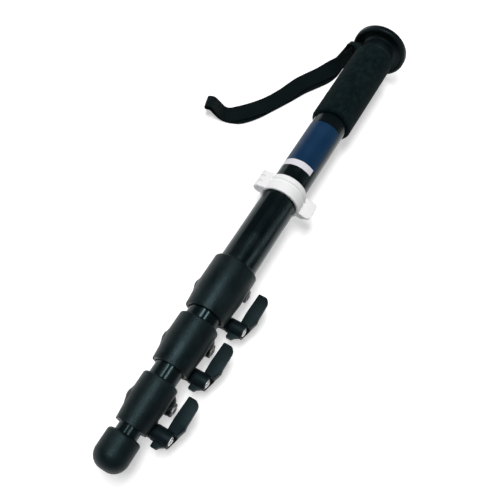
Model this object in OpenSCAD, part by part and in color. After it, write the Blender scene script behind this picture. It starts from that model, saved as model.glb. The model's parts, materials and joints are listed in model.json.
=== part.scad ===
// Four-section camera monopod with flip-lever clamps, lying closed on a table.
// The tube axis runs along Y, the centre of the camera plate's face is the origin,
// the levers are on the +X side and the table is below.

/* [Head] */
// Diameter of the camera plate
plate_d = 60; // [54:1:66]
// Thickness of the camera plate with its pad
plate_t = 7; // [6:0.5:9]
// Width of the chamfer round the plate's rim
plate_chamfer = 1; // [0.5:0.25:1.5]
// Depth of the hollow in the plate's underside
plate_hollow = 2.2; // [1:0.2:3]
// Width of the rim round the hollow
plate_rim = 3; // [2:0.5:4]
// Diameter of the rubber pad
pad_d = 52; // [44:1:52]
// Thickness of the rubber pad
pad_t = 1.6; // [1:0.2:2]
// Diameter of the camera stud, a quarter inch
stud_d = 6.35; // [5:0.05:8]
// How far the stud stands out of the pad
stud_out = 5.5; // [4:0.5:7]
// Width of the chamfer at the stud's end
stud_point = 0.8; // [0.4:0.1:1.2]
// Diameter of the stud's root in the plug, three eighths of an inch
stud_root_d = 9.5; // [8.5:0.1:10.5]
// Length of the stud's root below the plate
stud_root_len = 11; // [8:0.5:14]
// Diameter of the plate screws
plate_screw_d = 4; // [3:0.25:4.5]
// Length of the plate screws
plate_screw_len = 12; // [9:0.5:14]
// Radius of the circle that the plate screws stand on
plate_screw_ring = 10; // [9.5:0.25:11]
// How far the plug's neck, where the strap ring sits, is inside the upper tube's surface
neck_step = 2.5; // [2:0.1:3.5]
// Length of the neck
neck_len = 13; // [12:0.5:15]
// Thickness of the shoulder that rests on the upper tube
shoulder_t = 3; // [2:0.5:4]
// Length of the spigot in the upper tube
spigot_len = 11; // [8:0.5:14]

/* [Grip and strap] */
// Wall of the foam grip
grip_wall = 3.8; // [3:0.1:5]
// Length of the foam grip
grip_len = 105.5; // [90:0.5:115]
// Radius of the rounded ends of the grip
grip_round = 2.6; // [1.5:0.1:3]
// Wall of the strap ring
ring_wall = 2.4; // [2:0.1:3]
// Height of the strap ring
ring_h = 11; // [8:0.5:11.5]
// How far the strap lug stands out of the ring
lug_len = 14.6; // [13.6:0.2:16]
// Turn of the strap ring on the neck, from level towards the table
ring_turn = 30; // [20:1:34]
// Thickness of the strap lug
lug_t = 4.2; // [3:0.2:5]
// Height of the strap lug
lug_h = 24; // [23.5:0.5:26]
// Width of the bar at the lug's outer end
lug_bar = 3; // [2.5:0.1:3.2]
// Width of the lug's slot
lug_slot = 3.8; // [3.4:0.1:4.2]
// Width of the strap's webbing
strap_w = 16.5; // [15:0.5:17.5]
// Thickness of the webbing
strap_t = 1.3; // [1:0.1:1.6]

/* [Tubes] */
// Outer diameter of the upper tube
tube1_d = 35; // [32:0.5:38]
// Space between one tube and the next, taken up by the bushes
tube_gap = 1.2; // [1:0.05:1.4]
// Wall of every tube
tube_wall = 1.3; // [1.1:0.05:1.5]
// Length of the upper tube between the grip and its clamp
bare_len = 189; // [160:1:220]
// Length of the second tube that shows when closed
show2 = 8.7; // [7:0.1:14]
// Length of the third tube that shows when closed
show3 = 12; // [10:0.1:16]
// Length of the fourth tube that shows when closed
show4 = 7; // [4:0.1:12]
// Width of the anti-twist groove along the inner tubes
groove_w = 3.2; // [2.4:0.1:4]
// Depth of the anti-twist groove
groove_depth = 0.5; // [0.4:0.05:0.6]
// Length of the guide bush at the top of each inner tube
guide_len = 14; // [10:0.5:18]
// Step between the tops of the nested tubes
nest_step = 2; // [1:0.5:4]

/* [Clamps] */
// Length of the upper clamp's collar
collar1_len = 52; // [48:0.5:56]
// Length of the middle clamp's collar
collar2_len = 45.5; // [43:0.5:50]
// Length of the lower clamp's collar
collar3_len = 42.5; // [42:0.5:46]
// Collar wall over the fixed tube
collar_wall_top = 3.7; // [3.3:0.1:4.2]
// Collar wall over the sliding tube
collar_wall_bottom = 4.1; // [3.6:0.1:4.4]
// Radius of the rounded edges of the collars
collar_round = 1.8; // [1:0.1:2.2]
// Height of the part of each collar that squeezes the sliding tube
squeeze_h = 21.8; // [21.6:0.1:22.4]
// Height of the upper clamp's lever bolt above the collar's lower edge
lever1_h = 9.4; // [8.5:0.1:11]
// Height of the middle clamp's lever bolt above the collar's lower edge
lever2_h = 8.4; // [8.4:0.1:11]
// Height of the lower clamp's lever bolt above the collar's lower edge
lever3_h = 8.4; // [8.4:0.1:11]
// Depth of the upper clamp's fixing bolt below the collar's upper edge
fixing1_drop = 11.5; // [9:0.25:18]
// Depth of the middle clamp's fixing bolt below the collar's upper edge
fixing2_drop = 11.5; // [8:0.25:14]
// Depth of the lower clamp's fixing bolt below the collar's upper edge
fixing3_drop = 12.75; // [8:0.25:12.75]
// Distance of both bolts below the fixed tube's surface
bolt_below = 3.6; // [3.4:0.1:4]
// Radius of the ears round the bolts
ear_r = 6.5; // [6.4:0.1:6.5]
// How far the ears' left ends are inside the upper tube's radius
ear_short = 5.7; // [5.5:0.1:6.5]
// How far the upper ears' right ends are inside the upper tube's radius
ear_in = 4; // [3:0.1:5]
// How far the upper clamp's lever seat is inside the fixed tube's radius
seat1_in = 2; // [1:0.1:3]
// How far the middle clamp's lever seat is inside the fixed tube's radius
seat2_in = 2.6; // [1.6:0.1:3]
// How far the lower clamp's lever seat is inside the fixed tube's radius
seat3_in = 0.1; // [0:0.1:0.6]
// Turn of the clamps about the tubes, levers up
clamp_roll = 20; // [10:1:22]
// Width of the clamp's split
split_w = 3; // [2:0.25:4]
// Width of the slit between the fixed and the squeezing part
slit_w = 1.2; // [0.8:0.1:1.2]
// How far the boss of the fixing nut is inside the upper tube's radius
boss_in = 0.3; // [0:0.1:1]
// Radius of the moulded knob on the collar's side away from the lever
knob_r = 5; // [4:0.1:5.2]
// How far the knob stands out of the collar
knob_out = 1.2; // [0.8:0.1:1.4]
// Thickness of the clamp bush
bush_t = 1.2; // [1:0.05:1.3]
// How far the clamp bush stays inside the collar's mouth
bush_inset = 1.5; // [1:0.1:2.5]

/* [Bolts] */
// Diameter of the bolts
bolt_d = 5; // [4:0.1:5.2]
// Diameter of the bolt heads
bolt_head_d = 8.5; // [7.5:0.1:9.5]
// Height of the bolt heads
bolt_head_h = 4.3; // [3:0.1:5]
// Depth of the bolt heads' seats in the collars
head_sink = 4; // [3:0.1:4.5]
// Width of the nuts across their flats
nut_af = 8; // [7:0.1:8.4]
// Thickness of the nuts
nut_t = 4; // [3:0.1:4]
// Thickness of the cam washers
washer_t = 1.2; // [0.8:0.1:1.5]

/* [Levers] */
// Radius of the lever's hub
hub_r = 7; // [6.6:0.1:7.1]
// Length of the lever's hub
hub_len = 15.4; // [14.5:0.1:17]
// Depth of the nut's recess in the hub
hub_recess = 4.2; // [4:0.1:6]
// Distance of the blade's inner edge from the hub's inner end
blade_in = 7.9; // [7:0.1:9]
// How far the blade's inner edge leans outward at its tip
blade_lean = 1.9; // [0.5:0.1:2.5]
// Width of the lever's blade at its root
blade_w = 13.4; // [12:0.1:15]
// Reach of the blade from the hub's axis
blade_len = 36.8; // [34:0.25:40]
// Thickness of the blade where it bends down to the hub
blade_t = 3.6; // [3:0.1:4.2]
// How much thinner the blade is at its tip
blade_thin = 0.8; // [0.4:0.1:1.2]
// Distance of the bend from the hub's axis
blade_bend = 15.6; // [14:0.1:18]
// Height of the blade's face above the hub's axis
blade_rise = 5.8; // [5:0.1:6.4]
// Height of the blade's outer lower corner above the hub's axis
blade_low = 12; // [10:0.1:13]
// Radius of the blade's outer tip corner
blade_corner = 6.5; // [5:0.25:8]
// Reach of the heel on the foot side of the hub
heel_len = 11.4; // [10:0.25:13]
// Width of the heel
heel_w = 4.8; // [4:0.1:6]
// Distance of the heel from the hub's inner end
heel_in = 3.2; // [2:0.1:4]
// Thickness of the heel
heel_t = 5; // [4:0.1:6]

/* [Tube clip] */
// Length of the clip along the tube
clip_len = 19.5; // [17:0.5:24]
// Distance from the clip to the grip
clip_to_grip = 89.5; // [60:0.5:110]
// Wall of the clip's thick band
clip_wall = 3; // [2.5:0.1:3.5]
// Wall of the clip's thin band
clip_thin = 1.8; // [1.5:0.1:2.2]
// Height of the clip's thick band
clip_band_h = 10.5; // [8:0.25:12]
// Radius of the hinge barrel
barrel_r = 5.4; // [4.6:0.1:6]
// Distance of the hinge from the tube's surface
barrel_out = 6.2; // [6:0.1:6.8]
// Diameter of the hinge pin
pin_d = 3; // [2:0.1:3.4]
// How far the latch tab stands out of the clip's ring
tab_len = 12.5; // [10:0.25:15]
// Thickness of each latch tab
tab_t = 3.6; // [3:0.1:4.4]
// Thickness of the latch's hook
hook_t = 3.2; // [2.4:0.1:4]

/* [Foot] */
// Wall of the rubber foot round the fourth tube
foot_wall = 4.8; // [4:0.1:6]
// Length of the rubber foot
foot_len = 29.5; // [28:0.5:34]
// Radius of the round edge under the foot
foot_dome = 12.25; // [8:0.25:12.5]
// Radius of the round edge at the foot's upper end
foot_round = 3; // [1.5:0.1:3.4]
// Depth of the tube's socket in the foot
socket_depth = 18; // [14:0.5:19]
// Length of the plug in the end of the fourth tube
foot_plug_len = 16; // [10:0.5:20]

/* [Fits] */
// Radial clearance of fixed fits
seat_fit = 0.05; // [0.03:0.01:0.08]
// Radial clearance of sliding and turning fits
run_fit = 0.08; // [0.05:0.01:0.1]
// Gap between faces that move past each other
face_gap = 0.3; // [0.2:0.05:0.4]

/* [Hidden] */
$fn = 64;
eps = 0.01;
reach = 200;

// Colours
black_paint = [0.13, 0.14, 0.15];
black_plastic = [0.16, 0.17, 0.18];
foam = [0.09, 0.10, 0.10];
webbing = [0.06, 0.06, 0.07];
black_tube = [0.10, 0.11, 0.12];
white_nylon = [0.93, 0.93, 0.94];
grey_nylon = [0.55, 0.56, 0.58];
steel = [0.75, 0.76, 0.78];
dark_steel = [0.20, 0.21, 0.22];
rubber = [0.08, 0.08, 0.08];

// Diameters that follow from the upper tube
tube2_d = tube1_d - 2 * (tube_wall + tube_gap);
tube3_d = tube2_d - 2 * (tube_wall + tube_gap);
tube4_d = tube3_d - 2 * (tube_wall + tube_gap);
neck_d = tube1_d - 2 * neck_step;
grip_d = tube1_d + 2 * grip_wall;
foot_d = tube4_d + 2 * foot_wall;
lug_reach = neck_d / 2 + ring_wall + lug_len;
tab_reach = tube1_d / 2 + clip_wall + tab_len;
nut_boss_reach = tube1_d / 2 - boss_in;
ear_left = tube1_d / 2 - ear_short;
ear_right = tube1_d / 2 - ear_in;
head_seat = head_sink - ear_left;

// Stations along the tube, measured from the camera plate's face towards the foot
plate_under = -plate_t;
neck_end = plate_under - neck_len;
tube1_top = neck_end - shoulder_t;
plug_end = tube1_top - spigot_len;
grip_top = neck_end - face_gap;
grip_end = grip_top - grip_len;
collar1_top = grip_end - bare_len;
collar1_end = collar1_top - collar1_len;
collar2_top = collar1_end - show2;
collar2_end = collar2_top - collar2_len;
collar3_top = collar2_end - show3;
collar3_end = collar3_top - collar3_len;
foot_top = collar3_end - show4;
foot_end = foot_top - foot_len;
tube2_top = plug_end - nest_step;
tube3_top = tube2_top - nest_step;
tube4_top = tube3_top - nest_step;
tube4_end = foot_top - socket_depth;
clip_top = grip_end - clip_to_grip;
clip_end = clip_top - clip_len;
ring_top = plate_under - face_gap;
lug_mid = ring_top - ring_h / 2;

// One row for each clamp: lower edge, length, fixed tube's diameter, sliding tube's diameter,
// height of the lever bolt, depth of the fixing bolt, how far the lever's seat is inside the fixed tube's radius
CLAMPS = [
    [collar1_end, collar1_len, tube1_d, tube2_d, lever1_h, fixing1_drop, seat1_in],
    [collar2_end, collar2_len, tube2_d, tube3_d, lever2_h, fixing2_drop, seat2_in],
    [collar3_end, collar3_len, tube3_d, tube4_d, lever3_h, fixing3_drop, seat3_in]
];
function clamp_z(i) = CLAMPS[i - 1][0];
function clamp_len(i) = CLAMPS[i - 1][1];
function fixed_r(i) = CLAMPS[i - 1][2] / 2;
function sliding_r(i) = CLAMPS[i - 1][3] / 2;
function lever_h(i) = CLAMPS[i - 1][4];
function fixing_h(i) = clamp_len(i) - CLAMPS[i - 1][5];
function bolt_y(i) = fixed_r(i) + bolt_below;
function top_r(i) = fixed_r(i) + collar_wall_top;
function end_r(i) = sliding_r(i) + collar_wall_bottom;
function seat_x(i) = fixed_r(i) - CLAMPS[i - 1][6];
function lever_x(i) = seat_x(i) + washer_t + 2 * face_gap / 3;

// Upright build space to lying part: the tube's Z becomes the part's Y, and Y points to the table
module lay() {
    rotate([-90, 0, 0]) children();
}

// Space of clamp i, at its lower edge, with the lever on +X
module at_clamp(i) {
    lay() translate([0, 0, clamp_z(i)]) rotate([0, 0, -clamp_roll]) children();
}

// A cylinder along X from x0 to x1
module along_x(r, x0, x1, fn = $fn) {
    translate([x0, 0, 0]) rotate([0, 90, 0]) cylinder(r = r, h = x1 - x0, $fn = fn);
}

// A tube section between two stations
module sleeve(outer_r, inner_r, z0, z1) {
    translate([0, 0, z0]) difference() {
        cylinder(r = outer_r, h = z1 - z0);
        translate([0, 0, -1]) cylinder(r = inner_r, h = z1 - z0 + 2);
    }
}

// The waste of a corner of radius r, standing in the first quadrant from the origin
module corner_waste(r) {
    difference() {
        translate([-eps, -eps]) square(r + eps);
        translate([r, r]) circle(r);
    }
}

// A hexagon nut along X with its bore
module nut(x0, bore_r) {
    difference() {
        along_x(nut_af / sqrt(3), x0, x0 + nut_t, 6);
        along_x(bore_r, x0 - 1, x0 + nut_t + 1);
    }
}

// A round-headed bolt along X, its head's seat at x0 and its end at x1
module bolt(x0, x1) {
    translate([x0, 0, 0]) rotate([0, 90, 0]) difference() {
        rotate_extrude() polygon([
            [0, -bolt_head_h],
            [bolt_head_d / 2 - 0.8, -bolt_head_h],
            [bolt_head_d / 2, 0.8 - bolt_head_h],
            [bolt_head_d / 2, 0],
            [bolt_d / 2, 0],
            [bolt_d / 2, x1 - x0 - 0.6],
            [bolt_d / 2 - 0.5, x1 - x0],
            [0, x1 - x0]
        ]);
        translate([0, 0, -bolt_head_h - 1]) cylinder(r = bolt_d / 3, h = 1 + bolt_head_h / 2, $fn = 6);
    }
}

// Head

module camera_pad() {
    color(rubber) lay() sleeve(pad_d / 2, stud_root_d / 2 + face_gap, -pad_t, 0);
}

module camera_plate() {
    color(black_paint) lay() difference() {
        rotate_extrude() polygon([
            [stud_root_d / 2 + seat_fit, plate_under],
            [neck_d / 2 + ring_wall, plate_under],
            [neck_d / 2 + ring_wall + plate_hollow, plate_under + plate_hollow],
            [plate_d / 2 - plate_rim - plate_hollow / 2, plate_under + plate_hollow],
            [plate_d / 2 - plate_rim, plate_under],
            [plate_d / 2 - plate_chamfer, plate_under],
            [plate_d / 2, plate_under + plate_chamfer],
            [plate_d / 2, -plate_chamfer / 2 - face_gap],
            [plate_d / 2 - plate_chamfer / 2, -face_gap],
            [pad_d / 2 + seat_fit, -face_gap],
            [pad_d / 2 + seat_fit, -pad_t],
            [stud_root_d / 2 + seat_fit, -pad_t]
        ]);
        plate_screw_places() plate_screw(seat_fit);
    }
}

module camera_stud() {
    color(steel) lay() rotate_extrude() polygon([
        [0, plate_under - stud_root_len],
        [stud_root_d / 2, plate_under - stud_root_len],
        [stud_root_d / 2, 0],
        [stud_d / 2, 0],
        [stud_d / 2, stud_out - stud_point],
        [stud_d / 2 - stud_point, stud_out],
        [0, stud_out]
    ]);
}

module plate_screw_places() {
    for (k = [0:2]) rotate([0, 0, 120 * k + 30]) translate([plate_screw_ring, 0, -pad_t]) children();
}

// One countersunk screw below the pad, grown by a clearance
module plate_screw(gap) {
    translate([0, 0, -plate_screw_len]) cylinder(r = plate_screw_d / 2 + gap, h = plate_screw_len);
    translate([0, 0, -plate_screw_d / 2]) cylinder(
        r1 = plate_screw_d / 2 + gap, r2 = plate_screw_d + gap, h = plate_screw_d / 2 + (gap > 0 ? eps : 0));
}

module plate_screws() {
    color(dark_steel) lay() plate_screw_places() difference() {
        plate_screw(0);
        translate([0, 0, -1]) cylinder(r = plate_screw_d * 0.36, h = 2, $fn = 6);
    }
}

module head_plug() {
    color(black_paint) lay() difference() {
        rotate_extrude() polygon([
            [stud_root_d / 2 + seat_fit, plug_end],
            [tube1_d / 2 - tube_wall - seat_fit - 1, plug_end],
            [tube1_d / 2 - tube_wall - seat_fit, plug_end + 1],
            [tube1_d / 2 - tube_wall - seat_fit, tube1_top],
            [tube1_d / 2, tube1_top],
            [tube1_d / 2, neck_end],
            [neck_d / 2, neck_end],
            [neck_d / 2, plate_under],
            [stud_root_d / 2 + seat_fit, plate_under]
        ]);
        plate_screw_places() plate_screw(seat_fit);
    }
}

// Ring round the neck with a slotted lug for the webbing, turned a little towards the table
module strap_ring() {
    color(black_plastic) lay() rotate([0, 0, -ring_turn]) difference() {
        union() {
            translate([0, 0, ring_top - ring_h]) cylinder(r = neck_d / 2 + ring_wall, h = ring_h);
            translate([-lug_reach, 0, lug_mid]) rotate([0, 90, 0]) lug_plate();
        }
        translate([0, 0, ring_top - ring_h - 1]) cylinder(r = neck_d / 2 + seat_fit, h = ring_h + 2);
        translate([lug_bar - lug_reach, -strap_w / 2 - 1, lug_mid - reach / 2]) cube([lug_slot, strap_w + 2, reach]);
    }
}

// The lug's plate with two round outer corners, its thickness along X before it is turned
module lug_plate() {
    translate([-lug_t / 2, 0, 0]) rotate([90, 0, 90]) linear_extrude(lug_t) difference() {
        translate([-lug_h / 2, 0]) square([lug_h, lug_reach - neck_d / 2 - ring_wall / 2]);
        for (s = [-1, 1]) scale([s, 1]) translate([-lug_h / 2, 0]) corner_waste(lug_h / 6);
    }
}

// Foam grip
module grip() {
    bore = tube1_d / 2 + seat_fit;
    color(foam) lay() rotate_extrude() difference() {
        translate([bore, grip_end]) square([grip_d / 2 - bore, grip_len]);
        translate([grip_d / 2, grip_end]) mirror([1, 0]) corner_waste(grip_round);
        translate([grip_d / 2, grip_top]) rotate(180) corner_waste(grip_round);
    }
}

// Wrist strap: one band of webbing through the lug's slot, out along the table and back under itself.
// Route of the pair of bands from the lug's bar in the lying part: x, y, z, the turn of the webbing
// about its run, half the space between the bands and how far they are moved apart sideways.
STRAP_ROUTE = [
    [0, 0, 0, -ring_turn * 2, 3, 0],
    [0, -5.3, -0.4, -ring_turn * 2, 3, 0],
    [-1.59, -15.1, -3.75, -50, 2.3, 0.8],
    [-4.79, -27.8, -8.75, -27, 1.6, 1.8],
    [-9.89, -41.3, -11.55, -8, 1.15, 2],
    [-18.19, -58.5, -12.65, 0, 0.95, 2],
    [-23.89, -71.5, -12.75, 0, 0.95, 1.6],
    [-30.99, -93.3, -12.75, 0, 0.95, 0.6],
    [-38.79, -113.3, -12.75, 0, 0.95, 0.3],
    [-47.29, -131.1, -12.75, 0, 0.95, 1.2],
    [-56.79, -145.9, -12.75, 0, 0.95, 1.6],
    [-64.59, -153.2, -12.75, 0, 1, 0.4],
    [-71.39, -156.4, -11.75, 2, 1.1, 0],
    [-78.39, -158.4, -6.95, 6, 1.5, 0],
    [-84.09, -159.8, -2.95, 11, 1.8, 0],
    [-88.19, -161.2, -3.55, 15, 2, 0]
];
STEPS = 3;
LOOP_STEPS = 6;
bar_mid = lug_reach - lug_bar / 2;
strap_start = [-bar_mid * cos(ring_turn), lug_mid + lug_t / 2 - lug_bar / 2, -bar_mid * sin(ring_turn)];

function blend_row(a, b, c, d, t) = 0.5 * (2 * b + (c - a) * t + (2 * a - 5 * b + 4 * c - d) * t * t
    + (3 * b - a - 3 * c + d) * t * t * t);
function route_row(k) = STRAP_ROUTE[max(0, min(len(STRAP_ROUTE) - 1, k))];
function unit(v) = v / norm(v);
strap_rows = [
    for (k = [0:len(STRAP_ROUTE) - 2], j = [0:STEPS - 1])
        blend_row(route_row(k - 1), route_row(k), route_row(k + 1), route_row(k + 2), j / STEPS),
    route_row(len(STRAP_ROUTE) - 1)
];
row_last = len(strap_rows) - 1;
function row_point(k) = [for (a = [0:2]) strap_rows[k][a] + strap_start[a]];
function row_run(k) = unit(row_point(min(row_last, k + 1)) - row_point(max(0, k - 1)));
function row_side(k) = unit(cross([0, 0, 1], row_run(k)));
function row_width(k) = row_side(k) * cos(strap_rows[k][3])
    + cross(row_run(k), row_side(k)) * sin(strap_rows[k][3]);
function row_up(k) = cross(row_run(k), row_width(k));
// One section of the band: its middle, its face normal and its width direction
function band_row(k, s) = [
    row_point(k) + s * strap_rows[k][4] * row_up(k) - s * strap_rows[k][5] * row_width(k),
    s * row_up(k),
    row_width(k)
];
function turn_row(k, way, a) = [
    row_point(k) + strap_rows[k][4] * (cos(a) * row_up(k) + way * sin(a) * row_run(k)),
    cos(a) * row_up(k) + way * sin(a) * row_run(k),
    row_width(k)
];
strap_sections = [
    for (k = [0:row_last - 1]) band_row(k, 1),
    for (j = [0:LOOP_STEPS]) turn_row(row_last, 1, 180 * j / LOOP_STEPS),
    for (k = [row_last - 1:-1:0]) band_row(k, -1),
    for (j = [1:LOOP_STEPS - 1]) turn_row(0, -1, 180 - 180 * j / LOOP_STEPS)
];

module wrist_strap() {
    n = len(strap_sections);
    corners = [[1, 1], [1, -1], [-1, -1], [-1, 1]];
    points = [
        for (row = strap_sections, c = corners)
            row[0] + c[0] * strap_t / 2 * row[1] + c[1] * strap_w / 2 * row[2]
    ];
    faces = [
        for (k = [0:n - 1], c = [0:3])
            let (a = 4 * k + c, b = 4 * k + (c + 1) % 4, d = 4 * ((k + 1) % n))
            each [[a, b, d + (c + 1) % 4], [a, d + (c + 1) % 4, d + c]]
    ];
    color(webbing) polyhedron(points = points, faces = faces);
}

// Tubes

module upper_tube() {
    color(black_tube) lay() sleeve(tube1_d / 2, tube1_d / 2 - tube_wall, collar1_end + squeeze_h, tube1_top);
}

// A sliding tube with its anti-twist groove on the side away from the table
module inner_tube(d, z0, z1) {
    difference() {
        sleeve(d / 2, d / 2 - tube_wall, z0, z1);
        translate([-groove_w / 2, -d / 2 - 1, z0 - 1]) cube([groove_w, 1 + groove_depth, z1 - z0 + 2]);
    }
}

module second_tube() {
    color(black_tube) lay() inner_tube(tube2_d, collar2_end + squeeze_h, tube2_top);
}

module third_tube() {
    color(black_tube) lay() inner_tube(tube3_d, collar3_end + squeeze_h, tube3_top);
}

module fourth_tube() {
    color(black_tube) lay() inner_tube(tube4_d, tube4_end, tube4_top);
}

// Bush on the top of a sliding tube, running inside the tube above it
module guide_bush(outer_d, inner_d, top) {
    color(grey_nylon) lay() sleeve(
        outer_d / 2 - tube_wall - run_fit, inner_d / 2 + seat_fit, top - guide_len, top);
}

module guide_bush_2() {
    guide_bush(tube1_d, tube2_d, tube2_top);
}

module guide_bush_3() {
    guide_bush(tube2_d, tube3_d, tube3_top);
}

module guide_bush_4() {
    guide_bush(tube3_d, tube4_d, tube4_top);
}

// Clamps

// Outer shape of collar i: a cone that follows the sliding tube, then a straight sleeve over the fixed tube
module collar_body(i) {
    rotate_extrude() difference() {
        polygon([
            [0, 0],
            [end_r(i), 0],
            [top_r(i), squeeze_h + slit_w],
            [top_r(i), clamp_len(i)],
            [0, clamp_len(i)]
        ]);
        translate([end_r(i), 0]) mirror([1, 0]) corner_waste(collar_round);
        translate([top_r(i), clamp_len(i)]) rotate(180) corner_waste(collar_round);
    }
}

// Side view of an ear round a bolt at height h, from the tube axis down, between two heights at the axis
module ear_profile(i, h, h0, h1) {
    polygon([[0, h0], [bolt_y(i), h - ear_r], [bolt_y(i), h + ear_r], [0, h1]]);
    translate([bolt_y(i), h]) circle(ear_r);
}

// A profile of Y and Z, drawn out along X
module across(x0, x1) {
    translate([x0, 0, 0]) rotate([90, 0, 90]) linear_extrude(x1 - x0) children();
}

// The squeezing part's ears, with the lever's seat on the right
module lower_ears(i) {
    across(-ear_left, seat_x(i)) ear_profile(i, lever_h(i), collar_round + 0.8, squeeze_h);
}

// The fixed part's ears with the boss for the nut
module upper_ears(i) {
    across(-ear_left, ear_right)
        ear_profile(i, fixing_h(i), fixing_h(i) - ear_r, clamp_len(i) - collar_round);
    translate([0, bolt_y(i), fixing_h(i)]) along_x(ear_r - 0.4, 0, nut_boss_reach);
}

module collar(i) {
    color(black_paint) at_clamp(i) difference() {
        union() {
            collar_body(i);
            lower_ears(i);
            upper_ears(i);
            translate([0, 0, squeeze_h]) along_x(knob_r, -top_r(i) - knob_out, 0);
        }
        translate([0, 0, squeeze_h]) cylinder(r = fixed_r(i) + seat_fit, h = clamp_len(i));
        translate([0, 0, -1]) cylinder(r = sliding_r(i) + bush_t + seat_fit, h = squeeze_h + 2);
        translate([-split_w / 2, 0, -1]) cube([split_w, reach, clamp_len(i) + 2]);
        translate([-reach / 2, top_r(i) / 2, squeeze_h]) cube([reach, reach, slit_w]);
        for (h = [lever_h(i), fixing_h(i)]) {
            translate([0, bolt_y(i), h]) {
                along_x(bolt_d / 2 + seat_fit, -reach / 2, reach / 2);
                along_x(bolt_head_d / 2 + face_gap, -reach / 2, head_seat);
            }
        }
        translate([nut_boss_reach - nut_t + 1, bolt_y(i), fixing_h(i)])
            along_x(nut_af / sqrt(3) + seat_fit, 0, reach, 6);
    }
}

// Split bush that grips the sliding tube, with a key in its groove
module clamp_bush(i) {
    inner = sliding_r(i) + run_fit;
    color(grey_nylon) at_clamp(i) difference() {
        union() {
            sleeve(sliding_r(i) + bush_t, inner, bush_inset, squeeze_h - face_gap);
            rotate([0, 0, clamp_roll]) translate([-groove_w / 2 + face_gap, -inner - bush_t / 2, bush_inset])
                cube([groove_w - 2 * face_gap, bush_t / 2 + run_fit + groove_depth / 2,
                      squeeze_h - face_gap - bush_inset]);
        }
        translate([-split_w / 2, 0, -1]) cube([split_w, reach, squeeze_h + 2]);
    }
}

module fixing_bolt(i) {
    color(dark_steel) at_clamp(i) translate([0, bolt_y(i), fixing_h(i)])
        bolt(head_seat, nut_boss_reach + 1.3);
}

module fixing_nut(i) {
    color(steel) at_clamp(i) translate([0, bolt_y(i), fixing_h(i)])
        nut(nut_boss_reach - nut_t + 1, bolt_d / 2 + seat_fit / 2);
}

module lever_bolt(i) {
    color(steel) at_clamp(i) translate([0, bolt_y(i), lever_h(i)])
        bolt(head_seat, lever_x(i) + hub_len + 0.8);
}

module lever_nut(i) {
    color(steel) at_clamp(i) translate([0, bolt_y(i), lever_h(i)])
        nut(lever_x(i) + hub_len - hub_recess + face_gap, bolt_d / 2 + seat_fit / 2);
}

module cam_washer(i) {
    color(steel) at_clamp(i) translate([0, bolt_y(i), lever_h(i)]) difference() {
        along_x(hub_r - 0.5, seat_x(i), seat_x(i) + washer_t);
        along_x(bolt_d / 2 + seat_fit, 0, reach);
    }
}

// The lever's blade seen from above: X across, Y towards the head
module blade_outline() {
    outer = blade_in + blade_w;
    tip_in = blade_in + blade_lean;
    difference() {
        polygon([
            [blade_in, -hub_r * 0.4],
            [hub_len - 0.6, -hub_r * 0.85],
            [hub_len + (outer - hub_len) / 2, hub_r * 0.85],
            [outer, blade_low],
            [outer, blade_len],
            [tip_in, blade_len]
        ]);
        translate([outer, blade_len]) rotate(180) corner_waste(blade_corner);
        translate([tip_in, blade_len]) mirror([0, 1]) corner_waste(blade_corner / 5);
    }
}

// The blade from the side: X towards the table, Y towards the head; it bends down to the hub
module blade_side() {
    polygon([
        [-blade_rise, blade_bend],
        [-blade_rise, blade_len - 0.8],
        [0.8 - blade_rise, blade_len],
        [blade_t - blade_thin - blade_rise, blade_len],
        [blade_t - blade_rise, blade_bend],
        [hub_r * 0.75, hub_r * 0.6],
        [hub_r * 0.75, -hub_r],
        [-hub_r * 0.35, -hub_r],
        [-hub_r * 0.35, hub_r * 0.7]
    ]);
}

// The heel from above, with the web that joins it to the hub's outer end
module heel_outline() {
    polygon([
        [heel_in, 0],
        [heel_in, -heel_len],
        [heel_in + heel_w, -heel_len],
        [heel_in + heel_w + 2, 2.6 - heel_len],
        [hub_len - 0.6, -hub_r * 0.85],
        [hub_len - 0.6, 0]
    ]);
}

// A flip lever: hub on the bolt, blade along the tube, heel on the foot side
module lever(i) {
    color(black_plastic) at_clamp(i) translate([lever_x(i), bolt_y(i), lever_h(i)]) difference() {
        union() {
            along_x(hub_r, 0, hub_len);
            intersection() {
                translate([0, reach / 2, 0]) rotate([90, 0, 0]) linear_extrude(reach) blade_outline();
                across(-reach / 2, reach / 2) blade_side();
            }
            translate([0, heel_t / 2, 0]) rotate([90, 0, 0]) linear_extrude(heel_t) heel_outline();
        }
        along_x(bolt_d / 2 + run_fit, -1, hub_len + 1);
        along_x(nut_af / sqrt(3) + 2 * face_gap, hub_len - hub_recess, reach);
    }
}

// Tube clip

clip_bore = tube1_d / 2 + run_fit;
hinge_x = -tube1_d / 2 - barrel_out;
knuckle_h = clip_len / 3;

// The two bands of the clip's ring, its hinge and its tabs, before it is parted
module clip_ring() {
    rotate_extrude() polygon([
        [clip_bore, 0],
        [tube1_d / 2 + clip_wall, 0],
        [tube1_d / 2 + clip_wall, clip_band_h - 0.6],
        [tube1_d / 2 + clip_thin, clip_band_h],
        [tube1_d / 2 + clip_thin, clip_len - 0.6],
        [tube1_d / 2 + clip_thin - 0.6, clip_len],
        [clip_bore, clip_len]
    ]);
}

// A latch tab between two distances from the tube axis, its thickness from the parting face away
module clip_tab(x1) {
    rotate([90, 0, 0]) linear_extrude(tab_t) difference() {
        translate([clip_bore + clip_thin / 2, 0]) square([x1 - clip_bore - clip_thin / 2, clip_len]);
        translate([x1, 0]) mirror([1, 0]) corner_waste(clip_len / 4);
        translate([x1, clip_len]) rotate(180) corner_waste(clip_len / 4);
    }
}

// The barrel's knuckles: the middle one, or the two at the ends
module knuckle(z0, h, r) {
    translate([hinge_x, 0, z0]) cylinder(r = r, h = h);
}

module clip_bores() {
    translate([0, 0, -1]) cylinder(r = clip_bore, h = clip_len + 2);
}

module at_clip() {
    lay() translate([0, 0, clip_end]) children();
}

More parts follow.
